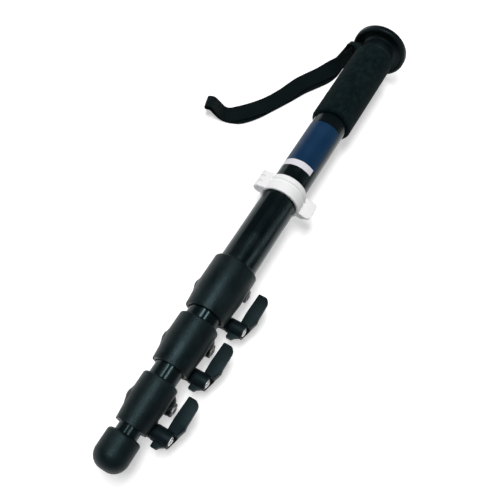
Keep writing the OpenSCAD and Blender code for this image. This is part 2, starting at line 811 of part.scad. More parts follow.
module clip_upper() {
    color(white_nylon) at_clip() difference() {
        union() {
            difference() {
                clip_ring();
                translate([-reach / 2, -face_gap / 2, -1]) cube([reach, reach, clip_len + 2]);
            }
            translate([0, -face_gap / 2, 0]) clip_tab(tab_reach);
            knuckle(knuckle_h + face_gap / 2, knuckle_h - face_gap, barrel_r);
            latch_hook();
        }
        for (z = [-eps, 2 * knuckle_h - face_gap / 2]) {
            knuckle(z, knuckle_h + face_gap / 2 + eps, barrel_r + face_gap);
        }
        knuckle(-1, clip_len + 2, pin_d / 2 + run_fit);
        clip_bores();
    }
}

// The hook at the end of the upper tab, reaching round the lower one
module latch_hook() {
    inset = clip_len / 4;
    translate([tab_reach - hook_t, -face_gap / 2 - tab_t / 2, inset])
        cube([hook_t, tab_t * 1.5 + face_gap, clip_len - 2 * inset]);
}

module clip_lower() {
    color(white_nylon) at_clip() difference() {
        union() {
            difference() {
                clip_ring();
                translate([-reach / 2, face_gap / 2 - reach, -1]) cube([reach, reach, clip_len + 2]);
            }
            translate([0, face_gap / 2 + tab_t, 0]) clip_tab(tab_reach - hook_t - 2 * face_gap);
            for (z = [0, 2 * knuckle_h + face_gap / 2]) {
                knuckle(z, knuckle_h - face_gap / 2, barrel_r);
            }
        }
        knuckle(knuckle_h - face_gap / 2, knuckle_h + face_gap, barrel_r + face_gap);
        knuckle(-1, clip_len + 2, pin_d / 2 + seat_fit);
        clip_bores();
    }
}

module clip_pin() {
    color(white_nylon) at_clip() knuckle(0, clip_len, pin_d / 2);
}

// Foot

module foot_plug() {
    color(black_plastic) lay() translate([0, 0, tube4_end])
        cylinder(r = tube4_d / 2 - tube_wall - seat_fit, h = foot_plug_len);
}

module rubber_foot() {
    color(rubber) lay() difference() {
        rotate_extrude() difference() {
            translate([0, foot_end]) square([foot_d / 2, foot_len]);
            translate([foot_d / 2, foot_end]) mirror([1, 0]) corner_waste(foot_dome);
            translate([foot_d / 2, foot_top]) rotate(180) corner_waste(foot_round);
        }
        translate([0, 0, tube4_end]) cylinder(r = tube4_d / 2 + seat_fit, h = socket_depth + 1);
    }
}

camera_pad();
camera_plate();
camera_stud();
plate_screws();
head_plug();
strap_ring();
wrist_strap();
grip();
upper_tube();
clip_upper();
clip_lower();
clip_pin();
collar(1);  // collar_1
clamp_bush(1);  // clamp_bush_1
fixing_bolt(1);  // fixing_bolt_1
fixing_nut(1);  // fixing_nut_1
lever_bolt(1);  // lever_bolt_1
lever_nut(1);  // lever_nut_1
cam_washer(1);  // cam_washer_1
lever(1);  // lever_1
second_tube();
guide_bush_2();
collar(2);  // collar_2
clamp_bush(2);  // clamp_bush_2
fixing_bolt(2);  // fixing_bolt_2
fixing_nut(2);  // fixing_nut_2
lever_bolt(2);  // lever_bolt_2
lever_nut(2);  // lever_nut_2
cam_washer(2);  // cam_washer_2
lever(2);  // lever_2
third_tube();
guide_bush_3();
collar(3);  // collar_3
clamp_bush(3);  // clamp_bush_3
fixing_bolt(3);  // fixing_bolt_3
fixing_nut(3);  // fixing_nut_3
lever_bolt(3);  // lever_bolt_3
lever_nut(3);  // lever_nut_3
cam_washer(3);  // cam_washer_3
lever(3);  // lever_3
fourth_tube();
guide_bush_4();
foot_plug();
rubber_foot();
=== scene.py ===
"""Looks of a four-section camera monopod that lies closed on a white table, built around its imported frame.

Lengths are in millimetres, except those of the lamps and the table's glow, which are in metres like the scene.
"""

import json
import logging
import math
from collections.abc import Callable, Iterator
from contextlib import contextmanager
from dataclasses import dataclass, field
from enum import Enum
from functools import partial

import bmesh
import bpy
from mathutils import Matrix, Vector

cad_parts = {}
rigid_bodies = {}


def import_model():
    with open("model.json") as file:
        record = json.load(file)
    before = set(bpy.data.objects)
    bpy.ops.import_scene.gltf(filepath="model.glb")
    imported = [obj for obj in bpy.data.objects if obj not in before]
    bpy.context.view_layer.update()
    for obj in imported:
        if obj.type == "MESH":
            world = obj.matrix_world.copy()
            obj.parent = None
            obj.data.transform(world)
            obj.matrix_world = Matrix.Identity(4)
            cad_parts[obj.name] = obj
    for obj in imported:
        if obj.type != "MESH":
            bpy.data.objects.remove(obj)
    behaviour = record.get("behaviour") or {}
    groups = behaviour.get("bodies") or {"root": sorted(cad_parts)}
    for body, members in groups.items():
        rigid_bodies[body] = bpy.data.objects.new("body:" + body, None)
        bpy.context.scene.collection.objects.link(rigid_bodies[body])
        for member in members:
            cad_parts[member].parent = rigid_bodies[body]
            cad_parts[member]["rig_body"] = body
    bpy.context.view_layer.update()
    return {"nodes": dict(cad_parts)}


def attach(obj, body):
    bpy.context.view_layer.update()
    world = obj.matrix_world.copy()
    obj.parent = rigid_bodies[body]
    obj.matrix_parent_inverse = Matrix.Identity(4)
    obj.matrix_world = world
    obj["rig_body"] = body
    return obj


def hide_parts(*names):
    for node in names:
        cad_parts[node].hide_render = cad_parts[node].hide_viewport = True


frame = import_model()

Piece = bpy.types.Object
Node = bpy.types.Node
Tree = bpy.types.NodeTree
Material = bpy.types.Material
Socket = bpy.types.NodeSocket
Triple = tuple[float, float, float]
Map = tuple[float, float, float, float]

log = logging.getLogger("monopod")
MM = 0.001
ALONG_TUBES = (math.pi / 2, 0, 0)
OPAQUE = (1.0,)
BLACK_GLOSS = (0.58, 0.92, 1.0)
CLOTH_GLOSS = (0.5, 0.9, 1.0, 1.0)
NOISE_MIDDLE = (0.3, 0.7)
# Number, radius of the outer tube, depth of the bolts below its axis and place of the fixing bolt along Y.
CLAMPS = ((1, 17.5, 21.1, -326.3), (2, 15.0, 18.6, -387.0), (3, 12.5, 16.1, -445.75))


class Grain(Enum):
    """How a surface was made, as the stretch of its fine grain along X, Y and Z."""

    MOULDED = (1.0, 1.0, 1.0)
    DRAWN = (1.0, 0.03, 1.0)
    TURNED = (0.2, 1.0, 0.2)


class Part(Enum):
    """What is picked on a mesh in edit mode, with its name in the mesh."""

    EDGE = "edges"
    FACE = "faces"


class Change(Enum):
    """What a second shape does to a piece, with its name in the boolean modifier."""

    ADD = "UNION"
    CUT = "DIFFERENCE"


class Wiring:
    """Adds and joins the nodes of one shader tree."""

    def __init__(self, tree: Tree) -> None:
        """Starts on the tree of a material, the world or a node group."""
        self.tree = tree

    def feed(self, node: Node, inputs: dict) -> Node:
        """Gives the inputs of a node their values.

        Args:
            node: The node.
            inputs: Values or output sockets, by the input's name or number.

        Returns:
            The same node.
        """
        for key, value in inputs.items():
            if isinstance(value, Socket):
                self.tree.links.new(value, node.inputs[key])
            else:
                node.inputs[key].default_value = value
        return node

    def add(self, kind: str, inputs: dict | None = None, **settings: object) -> Node:
        """Adds a node.

        Args:
            kind: The node's type name.
            inputs: Values or output sockets for its inputs, by name or number.
            settings: Values for the node's own properties.

        Returns:
            The new node.
        """
        node = self.tree.nodes.new(kind)
        for key, value in settings.items():
            setattr(node, key, value)
        return self.feed(node, inputs or {})

    def math(self, operation: str, a: object, b: object = 0.0, clamp: bool = False) -> Socket:
        """Adds a math node, held between 0 and 1 where clamp is set, and gives its result."""
        return self.add("ShaderNodeMath", {0: a, 1: b}, operation=operation, use_clamp=clamp).outputs[0]

    def mix(self, factor: object, a: object, b: object, blend: str = "MIX") -> Socket:
        """Adds a mix of two colours and gives the mixed colour."""
        return self.add("ShaderNodeMix", {0: factor, 6: a, 7: b}, data_type="RGBA", blend_type=blend).outputs[2]

    def span(self, value: object, low: float, high: float, to_low: float, to_high: float) -> Socket:
        """Adds a clamped map from one range to another and gives the mapped value."""
        return self.add("ShaderNodeMapRange", {0: value, 1: low, 2: high, 3: to_low, 4: to_high}).outputs[0]

    def place(self) -> Socket:
        """Gives the place on the object's own axes."""
        return self.add("ShaderNodeTexCoord").outputs["Object"]

    def bump(self, strength: float, depth: float, height: Socket) -> Socket:
        """Adds a bump with its depth in millimetres and gives the bumped normal."""
        return self.add("ShaderNodeBump", {"Strength": strength, "Distance": depth * MM, "Height": height}).outputs[0]

    def rays(self) -> tuple[Socket, Socket]:
        """Tells which rays see a surface.

        Returns:
            Whether a ray comes straight from the eye, and whether it was mirrored.
        """
        path = self.add("ShaderNodeLightPath")
        direct = self.math("MAXIMUM", path.outputs["Is Camera Ray"], path.outputs["Is Transmission Ray"])
        return direct, path.outputs["Is Glossy Ray"]


def shared_group(name: str, inputs: dict[str, float], outputs: tuple[str, ...]) -> tuple[Wiring, dict, Node]:
    """Makes an empty shader group with named sockets.

    Args:
        name: The group's name.
        inputs: Its inputs with their usual values.
        outputs: Its outputs.

    Returns:
        The group's wiring, its input sockets by name and its output node.
    """
    tree = bpy.data.node_groups.new(name, "ShaderNodeTree")
    for key, value in inputs.items():
        socket = tree.interface.new_socket(key, in_out="INPUT", socket_type="NodeSocketFloat")
        socket.default_value = value
    for key in outputs:
        tree.interface.new_socket(key, in_out="OUTPUT", socket_type="NodeSocketFloat")
    wiring = Wiring(tree)
    start = wiring.add("NodeGroupInput")
    end = wiring.add("NodeGroupOutput")
    return wiring, {key: start.outputs[key] for key in inputs}, end


class SharedEffects:
    """The shader groups that several finishes use."""

    dust_facing: Map = (-0.2, 0.9, 0.25, 1.0)
    dust_patches: Map = (0.42, 0.66, 0.0, 1.0)
    scuff_lines: Map = (0.0, 0.03, 1.0, 0.0)
    scuff_patches: Map = (0.5, 0.7, 0.0, 1.0)

    def __init__(self) -> None:
        """Builds each group once."""
        self.grain = self._grain()
        self.handling = self._handling()

    @staticmethod
    def _grain() -> Tree:
        """Builds the fine grain of a made surface: a height and a slow change of tone.

        Returns:
            The group's tree.
        """
        usual = {"Scale": 1500.0, "Along X": 1.0, "Along Y": 1.0, "Along Z": 1.0, "Slow": 60.0}
        wiring, given, end = shared_group("made_grain", usual, ("Height", "Tone"))
        place = wiring.place()
        stretch = wiring.add("ShaderNodeCombineXYZ", {0: given["Along X"], 1: given["Along Y"], 2: given["Along Z"]})
        drawn = wiring.add("ShaderNodeVectorMath", {0: place, 1: stretch.outputs[0]}, operation="MULTIPLY").outputs[0]
        fine = wiring.add("ShaderNodeTexNoise", {"Vector": drawn, "Scale": given["Scale"], "Detail": 3.0})
        slow = wiring.add("ShaderNodeTexNoise", {"Vector": drawn, "Scale": given["Slow"], "Detail": 2.0})
        tone = wiring.span(slow.outputs[0], *NOISE_MIDDLE, 0.0, 1.0)
        wiring.feed(end, {"Height": fine.outputs[0], "Tone": tone})
        return wiring.tree

    def _handling(self) -> Tree:
        """Builds the faint dust and finger marks of a used thing: a mask of dull places and one of fine scuffs.

        Returns:
            The group's tree.
        """
        wiring, given, end = shared_group("handling_marks", {"Size": 45.0, "Scuffs": 260.0}, ("Dull", "Scuff"))
        place = wiring.place()
        patches = wiring.add("ShaderNodeTexNoise", {"Vector": place, "Scale": given["Size"], "Detail": 4.0}).outputs[0]
        facing = wiring.add("ShaderNodeSeparateXYZ", {0: wiring.add("ShaderNodeNewGeometry").outputs["Normal"]})
        upward = wiring.span(facing.outputs[2], *self.dust_facing)
        lines = wiring.add("ShaderNodeTexVoronoi", {"Vector": place, "Scale": given["Scuffs"]},
                           feature="DISTANCE_TO_EDGE")
        thin = wiring.span(lines.outputs[0], *self.scuff_lines)
        wiring.feed(end, {"Dull": wiring.math("MULTIPLY", wiring.span(patches, *self.dust_patches), upward),
                          "Scuff": wiring.math("MULTIPLY", thin, wiring.span(patches, *self.scuff_patches))})
        return wiring.tree


def new_material(name: str) -> tuple[Material, Wiring, Node]:
    """Makes a material with a bare principled shader.

    Args:
        name: The material's name.

    Returns:
        The material, its wiring and its shader node.
    """
    material = bpy.data.materials.new(name)
    material.use_nodes = True
    return material, Wiring(material.node_tree), material.node_tree.nodes["Principled BSDF"]


@dataclass(frozen=True)
class SatinFinish:
    """A satin surface of plastic, paint or anodised alloy, with a fine grain and marks of handling."""

    name: str
    colour: Triple
    roughness: float
    grain: Grain = Grain.MOULDED
    scale: float = 1500.0
    depth: float = 0.012
    specular: float = 0.5
    metallic: float = 0.0
    mottle: float = 0.25
    dust: Triple = (0.035, 0.04, 0.042)
    dust_amount: float = 0.12
    gloss_tint: Triple = (1.0, 1.0, 1.0)
    relief: float = 0.35
    rough_spread: float = 0.05
    dull_rough: float = 0.12
    scuff_gloss: float = 0.08

    def material(self, effects: SharedEffects) -> Material:
        """Builds the material.

        Args:
            effects: The shared shader groups.

        Returns:
            The new material.
        """
        material, wiring, shader = new_material(self.name)
        stretch = {f"Along {axis}": value for axis, value in zip("XYZ", self.grain.value)}
        grain = wiring.add("ShaderNodeGroup", {"Scale": self.scale, **stretch}, node_tree=effects.grain)
        marks = wiring.add("ShaderNodeGroup", node_tree=effects.handling)
        height, dull = grain.outputs["Height"], marks.outputs["Dull"]
        dark = tuple(c * (1 - self.mottle) for c in self.colour) + OPAQUE
        light = tuple(min(1.0, c * (1 + self.mottle)) for c in self.colour) + OPAQUE
        tone = wiring.mix(grain.outputs["Tone"], dark, light)
        dusted = wiring.math("MULTIPLY", dull, self.dust_amount)
        low, high = self.roughness - self.rough_spread, self.roughness + self.rough_spread
        rough = wiring.math("ADD", wiring.span(height, *NOISE_MIDDLE, low, high),
                            wiring.math("MULTIPLY", dull, self.dull_rough))
        scuffs = wiring.math("MULTIPLY", marks.outputs["Scuff"], self.scuff_gloss)
        wiring.feed(shader, {
            "Base Color": wiring.mix(dusted, tone, self.dust + OPAQUE),
            "Roughness": wiring.math("SUBTRACT", rough, scuffs, clamp=True),
            "Normal": wiring.bump(self.relief, self.depth, height),
            "Specular IOR Level": self.specular,
            "Metallic": self.metallic,
            "Specular Tint": self.gloss_tint + OPAQUE})
        return material


@dataclass(frozen=True)
class SteelFinish(SatinFinish):
    """Turned or blackened steel with fine tool marks."""

    grain: Grain = Grain.TURNED
    scale: float = 2200.0
    depth: float = 0.01
    metallic: float = 1.0
    mottle: float = 0.12
    dust_amount: float = 0.05


@dataclass(frozen=True)
class FoamFinish:
    """Closed-cell foam: dark, dull and finely pitted."""

    name: str = "cellular_foam"
    colour: Triple = (0.0003, 0.0022, 0.0026)
    light: Triple = (0.0062, 0.0142, 0.0152)
    dust: Triple = (0.012, 0.018, 0.018)
    dust_amount: float = 0.2
    cell_scale: float = 1100.0
    cloud_scale: float = 170.0
    cloud_detail: float = 5.0
    cloud_roughness: float = 0.65
    cloud_tone: Map = (0.4, 0.66, 0.0, 1.0)
    cloud_gloss: Map = (*NOISE_MIDDLE, 0.78, 0.95)
    pit_shade: Map = (0.15, 0.5, 0.55, 1.0)
    cell_height: float = 0.7
    cloud_height: float = 0.8
    relief: float = 0.55
    depth: float = 0.25
    specular: float = 0.14

    def material(self, effects: SharedEffects) -> Material:
        """Builds the material.

        Args:
            effects: The shared shader groups.

        Returns:
            The new material.
        """
        material, wiring, shader = new_material(self.name)
        place = wiring.place()
        cells = wiring.add("ShaderNodeTexVoronoi", {"Vector": place, "Scale": self.cell_scale, "Randomness": 1.0}
                           ).outputs["Distance"]
        cloud = wiring.add("ShaderNodeTexNoise", {"Vector": place, "Scale": self.cloud_scale,
                                                  "Detail": self.cloud_detail, "Roughness": self.cloud_roughness}
                           ).outputs[0]
        marks = wiring.add("ShaderNodeGroup", node_tree=effects.handling)
        tone = wiring.mix(wiring.span(cloud, *self.cloud_tone), self.colour + OPAQUE, self.light + OPAQUE)
        shade = wiring.mix(1.0, tone, wiring.span(cells, *self.pit_shade), "MULTIPLY")
        dusted = wiring.math("MULTIPLY", marks.outputs["Dull"], self.dust_amount)
        height = wiring.math("ADD", wiring.math("MULTIPLY", cells, self.cell_height),
                             wiring.math("MULTIPLY", cloud, self.cloud_height))
        wiring.feed(shader, {
            "Base Color": wiring.mix(dusted, shade, self.dust + OPAQUE),
            "Normal": wiring.bump(self.relief, self.depth, height),
            "Roughness": wiring.span(cloud, *self.cloud_gloss),
            "Specular IOR Level": self.specular,
            "Specular Tint": CLOTH_GLOSS})
        return material


@dataclass(frozen=True)
class WebbingFinish:
    """Woven nylon webbing, its threads laid out on the strap's own UV map in millimetres."""

    name: str = "woven_webbing"
    colour: Triple = (0.0004, 0.0011, 0.0013)
    # Painted light: the raised thread tops are coloured lighter than the painted shade of the valleys between them
    # (colour).
    lit_thread: Triple = (0.0036, 0.007, 0.0076)
    lint: Triple = (0.012, 0.017, 0.017)
    lint_amount: float = 0.12
    rib_pitch: float = 2.2
    rib_height: float = 0.35
    pick_pitch: float = 2.0
    pick_height: float = 0.5
    warp_width: float = 0.75
    warp_step: float = 0.6
    fibre_scale: float = 2600.0
    fibre_height: float = 0.5
    # Painted shade: maps the weave's height from the darker valleys to the lighter thread tops.
    weave_shade_map: Map = (-0.6, 1.1, 0.0, 1.0)
    thread_gloss: Map = (-0.6, 1.1, 0.85, 0.62)
    relief: float = 0.75
    depth: float = 0.3
    specular: float = 0.11
    sheen: float = 0.02
    sheen_roughness: float = 0.5

    def material(self, effects: SharedEffects) -> Material:
        """Builds the material.

        Args:
            effects: The shared shader groups.

        Returns:
            The new material.
        """
        material, wiring, shader = new_material(self.name)
        uv = wiring.add("ShaderNodeSeparateXYZ", {0: wiring.add("ShaderNodeUVMap", uv_map="threads").outputs[0]})
        across, run = uv.outputs[0], uv.outputs[1]
        rib = wiring.math("SINE", wiring.math("MULTIPLY", across, 2 * math.pi / self.rib_pitch))
        warp = wiring.math("FLOOR", wiring.math("DIVIDE", across, self.warp_width))
        along = wiring.math("ADD", run, wiring.math("MULTIPLY", warp, self.warp_step))
        pick = wiring.math("SINE", wiring.math("MULTIPLY", along, 2 * math.pi / self.pick_pitch))
        lift = wiring.math("ADD", wiring.math("MULTIPLY", rib, self.rib_height),
                           wiring.math("MULTIPLY", pick, self.pick_height))
        grain = wiring.add("ShaderNodeGroup", {"Scale": self.fibre_scale}, node_tree=effects.grain)
        marks = wiring.add("ShaderNodeGroup", node_tree=effects.handling)
        height = wiring.math("ADD", lift, wiring.math("MULTIPLY", grain.outputs["Height"], self.fibre_height))
        # Painted light and shade: the weave is coloured darker in its valleys and lighter on its raised threads, after
        # its height.
        tone = wiring.mix(wiring.span(height, *self.weave_shade_map), self.colour + OPAQUE, self.lit_thread + OPAQUE)
        linted = wiring.math("MULTIPLY", marks.outputs["Dull"], self.lint_amount)
        wiring.feed(shader, {
            "Base Color": wiring.mix(linted, tone, self.lint + OPAQUE),
            "Normal": wiring.bump(self.relief, self.depth, height),
            "Roughness": wiring.span(height, *self.thread_gloss),
            "Specular IOR Level": self.specular,
            "Specular Tint": CLOTH_GLOSS,
            "Sheen Weight": self.sheen,
            "Sheen Roughness": self.sheen_roughness})
        return material


class Wardrobe:
    """Every finish of the monopod, each built once."""

    def __init__(self) -> None:
        """Builds the shared effects and the materials."""
        effects = SharedEffects()
        black = partial(SatinFinish, gloss_tint=BLACK_GLOSS)
        finishes = {
            "collar": black("collar_moulding", (0.0011, 0.0038, 0.0046), 0.38, scale=900.0, depth=0.36,
                specular=0.2, mottle=0.7, dust_amount=0.1, relief=0.65),
            "lever": black("lever_moulding", (0.0042, 0.0082, 0.0104), 0.44, scale=900.0, depth=0.05,
                specular=0.1, mottle=0.2, dust_amount=0.08),
            "tube": black("drawn_tube", (0.0005, 0.0024, 0.0031), 0.2, Grain.DRAWN, scale=900.0, depth=0.01,
                specular=0.28, dust_amount=0.06),
            "alloy": black("turned_alloy", (0.0022, 0.0042, 0.0048), 0.4, Grain.TURNED, scale=1300.0, depth=0.012,
                specular=0.2, dust_amount=0.06),
            "ring": black("ring_moulding", (0.003, 0.0055, 0.0062), 0.45, depth=0.03, specular=0.3, dust_amount=0.08),
            "nylon": SatinFinish("white_nylon", (0.9, 0.9, 0.905), 0.38, depth=0.01, specular=0.45, mottle=0.015,
                dust=(0.74, 0.74, 0.74), dust_amount=0.1),
            "bush": SatinFinish("grey_bush", (0.2, 0.21, 0.22), 0.55, depth=0.02, mottle=0.06, dust_amount=0.05),
            "rubber": black("foot_rubber", (0.0016, 0.0052, 0.0062), 0.46, depth=0.3, scale=900.0, specular=0.2,
                mottle=0.35, dust_amount=0.2, relief=0.6),
            "print": black("navy_print", (0.0035, 0.026, 0.074), 0.34, Grain.DRAWN, scale=900.0, depth=0.006,
                specular=0.25, mottle=0.14, dust=(0.012, 0.045, 0.1), dust_amount=0.2),
            "stripe": SatinFinish("white_print", (0.76, 0.76, 0.81), 0.42, depth=0.006, specular=0.4, mottle=0.02,
                dust=(0.6, 0.6, 0.63), dust_amount=0.12),
            "steel": SteelFinish("bright_steel", (0.56, 0.56, 0.55), 0.3),
            "dark_steel": SteelFinish("blackened_steel", (0.05, 0.055, 0.058), 0.42),
            "dull_steel": SteelFinish("dulled_steel", (0.26, 0.26, 0.255), 0.5),
            "foam": FoamFinish(),
            "webbing": WebbingFinish(),
        }
        self.materials = {key: finish.material(effects) for key, finish in finishes.items()}

    def dress(self, piece: Piece, finish: str) -> Piece:
        """Gives a piece one finish all over.

        Args:
            piece: The object to dress.
            finish: The finish's key.

        Returns:
            The same object.
        """
        piece.data.materials.clear()
        piece.data.materials.append(self.materials[finish])
        return piece


class Bench:
    """The hand tools of modelling: selection, edit mode, modifiers, basic shapes and smooth shading."""

    WELD = 0.002
    SEAM = 0.001
    FLAT_DEG = 0.4
    MOULDED_DEG = 40.0
    SOFT_DEG = 60.0
    SOFTENING = 0.5

    @staticmethod
    def only(piece: Piece) -> None:
        """Selects one object and nothing else."""
        bpy.ops.object.select_all(action="DESELECT")
        piece.select_set(True)
        bpy.context.view_layer.objects.active = piece

    @staticmethod
    def clear() -> None:
        """Deselects every object."""
        bpy.ops.object.select_all(action="DESELECT")
        bpy.context.view_layer.objects.active = None

    @staticmethod
    def placed(name: str, data: bpy.types.ID) -> Piece:
        """Puts a new object with its data into the scene.

        Args:
            name: The object's name.
            data: Its mesh, lamp or camera.

        Returns:
            The object.
        """
        thing = bpy.data.objects.new(name, data)
        bpy.context.scene.collection.objects.link(thing)
        return thing

    @staticmethod
    def made() -> Piece:
        """Gives the basic shape that was just added, with its place put into its mesh."""
        bpy.ops.object.transform_apply(location=True, rotation=True, scale=True)
        return bpy.context.object

    @classmethod
    @contextmanager
    def editing(cls, piece: Piece) -> Iterator[None]:
        """Holds a piece in edit mode.

        Args:
            piece: The piece, which becomes the only one selected.

        Yields:
            Nothing.
        """
        cls.only(piece)
        bpy.ops.object.mode_set(mode="EDIT")
        yield
        bpy.ops.object.mode_set(mode="OBJECT")

    @staticmethod
    def pick(piece: Piece, part: Part, test: Callable[[object], bool]) -> None:
        """Selects the edges or faces that pass a test.

        Args:
            piece: The piece in edit mode.
            part: What is picked.
            test: Whether one of them is selected.
        """
        bpy.ops.mesh.select_mode(type=part.name)
        bpy.ops.mesh.select_all(action="DESELECT")
        mesh = bmesh.from_edit_mesh(piece.data)
        for item in getattr(mesh, part.value):
            item.select_set(test(item))
        bmesh.update_edit_mesh(piece.data)

    @staticmethod
    def face_out() -> None:
        """Selects the whole mesh in edit mode and turns its faces outwards."""
        bpy.ops.mesh.select_all(action="SELECT")
        bpy.ops.mesh.normals_make_consistent(inside=False)

    @classmethod
    def modify(cls, piece: Piece, kind: str, **settings: object) -> None:
        """Applies one modifier.

        Args:
            piece: The piece.
            kind: The modifier's type name.
            settings: Its settings.
        """
        cls.only(piece)
        modifier = piece.modifiers.new(kind.lower(), kind)
        for key, value in settings.items():
            setattr(modifier, key, value)
        bpy.ops.object.modifier_apply(modifier=modifier.name)

    @classmethod
    def settle(cls, piece: Piece, name: str, smooth_deg: float = 35.0) -> Piece:
        """Names a new piece, puts its place into its mesh, splits its many-sided faces and smooths it.

        Args:
            piece: The new object, in object mode.
            name: Its name.
            smooth_deg: The angle under which edges are smooth.

        Returns:
            The same object.
        """
        cls.only(piece)
        cls.made()
        with cls.editing(piece):
            bpy.ops.mesh.select_mode(type="FACE")
            bpy.ops.mesh.select_face_by_sides(number=4, type="GREATER", extend=False)
            bpy.ops.mesh.quads_convert_to_tris(quad_method="BEAUTY", ngon_method="BEAUTY")
        bpy.ops.object.shade_smooth_by_angle(angle=math.radians(smooth_deg))
        piece.name = piece.data.name = name
        return piece

    @classmethod
    def copied(cls, node: str) -> Piece:
        """Copies a CAD node and joins its loose triangles.

        Args:
            node: The CAD node that the copy stands for.

        Returns:
            The copy, which rides on the node's body.
        """
        source = frame["nodes"][node]
        piece = cls.placed(f"{node}_shown", source.data.copy())
        with cls.editing(piece):
            bpy.ops.mesh.select_all(action="SELECT")
            bpy.ops.mesh.remove_doubles(threshold=cls.WELD * MM)
            bpy.ops.mesh.dissolve_limited(angle_limit=math.radians(cls.FLAT_DEG))
            bpy.ops.mesh.normals_make_consistent(inside=False)
            bpy.ops.mesh.customdata_custom_splitnormals_clear()
        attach(piece, source["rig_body"])
        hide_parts(node)
        return piece

    @classmethod
    def rounded(cls, piece: Piece, width: float, segments: int = 2, corner_deg: float = 28.0) -> Piece:
        """Rounds the hard edges of a piece and smooths it.

        Args:
            piece: The piece.
            width: Width of the round; with 0 the edges stay.
            segments: How many faces make the round.
            corner_deg: The angle from which an edge is hard.

        Returns:
            The same piece.
        """
        if width > 0:
            cls.modify(piece, "BEVEL", width=width * MM, segments=segments, limit_method="ANGLE",
                       angle_limit=math.radians(corner_deg), use_clamp_overlap=True, harden_normals=False,
                       miter_outer="MITER_ARC")
            cls.close_rims(piece)
        return cls.settle(piece, piece.name, cls.MOULDED_DEG)

    @classmethod
    def close_rims(cls, piece: Piece, sides: int = 40, area: float = 0.05, gap: float = 0.02) -> None:
        """Deletes the ring faces that two rounds have used up, and joins the rims on both sides of each.

        Args:
            piece: The rounded piece.
            sides: How many sides a ring face has at least.
            area: The largest area of a used-up face, in square mm.
            gap: The widest gap between two rims.
        """
        with cls.editing(piece):
            cls.pick(piece, Part.FACE, lambda face: len(face.verts) >= sides and face.calc_area() < area * MM * MM)
            bpy.ops.mesh.delete(type="ONLY_FACE")
            bpy.ops.mesh.select_mode(type="VERT")
            bpy.ops.mesh.select_non_manifold(extend=False, use_wire=False, use_boundary=True, use_multi_face=False,
                                             use_non_contiguous=False, use_verts=False)
            bpy.ops.mesh.remove_doubles(threshold=gap * MM)
            cls.face_out()

    @classmethod
    def softened(cls, node: str, width: float, segments: int = 2) -> Piece:
        """Copies a CAD node and rounds its hard edges by a width in millimetres."""
        return cls.rounded(cls.copied(node), width, segments)

    @classmethod
    def melted(cls, piece: Piece, extras: list[Piece], grain: float, passes: int) -> Piece:
        """Melts added shapes into a piece as one moulding with soft corners.

        Args:
            piece: The piece that stays.
            extras: Closed shapes that are joined to it.
            grain: Size of the new mesh's faces.
            passes: How often its corners are softened.

        Returns:
            The same piece.
        """
        cls.only(piece)
        for extra in extras:
            extra.select_set(True)
        bpy.ops.object.join()
        cls.modify(piece, "REMESH", mode="VOXEL", voxel_size=grain * MM)
        cls.modify(piece, "SMOOTH", factor=cls.SOFTENING, iterations=passes)
        return cls.settle(piece, piece.name, cls.SOFT_DEG)

    @classmethod
    def combine(cls, piece: Piece, tool: Piece, change: Change) -> None:
        """Adds a shape to a piece or takes it away.

        Args:
            piece: The piece that stays.
            tool: The shape, which is used up.
            change: What the shape does.
        """
        cls.modify(piece, "BOOLEAN", operation=change.value, solver="EXACT", object=tool)
        cls.only(tool)
        bpy.ops.object.delete()

    @classmethod
    def rod(cls, x: float, y: float, length: float, radius: float, sides: int) -> Piece:
        """Makes a round rod along the tubes.

        Args:
            x: Its place beside their axis.
            y: Its middle along them.
            length: Its length.
            radius: Its radius.
            sides: Its number of sides.

        Returns:
            The rod.
        """
        cls.clear()
        bpy.ops.mesh.primitive_cylinder_add(vertices=sides, radius=radius * MM, depth=length * MM,
                                            location=(x * MM, y * MM, 0), rotation=ALONG_TUBES)
        return cls.made()

    @classmethod
    def lathe(cls, name: str, profile: list[tuple[float, float]], sides: int) -> Piece:
        """Turns a closed profile round the tubes' axis: a ring is extruded and resized from station to station.

        Args:
            name: The piece's name.
            profile: Stations along Y and radii.
            sides: Number of sides.

        Returns:
            The turned piece.
        """
        cls.clear()
        y, r = profile[0]
        bpy.ops.mesh.primitive_circle_add(vertices=sides, radius=r * MM, fill_type="NOTHING", location=(0, y * MM, 0),
                                          rotation=ALONG_TUBES, enter_editmode=True)
        piece = bpy.context.object
        for (y0, r0), (y1, r1) in zip(profile, profile[1:]):
            bpy.ops.mesh.extrude_edges_move(TRANSFORM_OT_translate={"value": (0, (y1 - y0) * MM, 0)})
            bpy.ops.transform.resize(value=(r1 / r0, 1, r1 / r0), center_override=(0, y1 * MM, 0))
        cls.pick(piece, Part.EDGE, lambda edge: edge.is_boundary)
        bpy.ops.mesh.bridge_edge_loops()
        bpy.ops.mesh.select_all(action="SELECT")
        bpy.ops.mesh.remove_doubles(threshold=cls.SEAM * MM)
        bpy.ops.mesh.normals_make_consistent(inside=False)
        bpy.ops.object.mode_set(mode="OBJECT")
        return cls.settle(piece, name)


@dataclass
class SubAssembly:
    """A group of pieces that are built and dressed together."""

    wardrobe: Wardrobe


@dataclass(frozen=True)
class Softbox:
    """One soft lamp: where it hangs, how wide and long it is in metres, and its power in watts."""

    name: str
    place: Triple
    size: tuple[float, float]
    power: float
    aim: Triple = (0.0, -0.25, -0.03)

    def hang(self) -> None:
        """Hangs the lamp, turned to its aim."""
        data = bpy.data.lights.new(self.name, "AREA")
        data.shape = "RECTANGLE"
        data.size, data.size_y = self.size
        data.energy = self.power
        lamp = Bench.placed(self.name, data)
        lamp.location = self.place
        lamp.rotation_euler = (Vector(self.aim) - lamp.location).to_track_quat("-Z", "Y").to_euler()


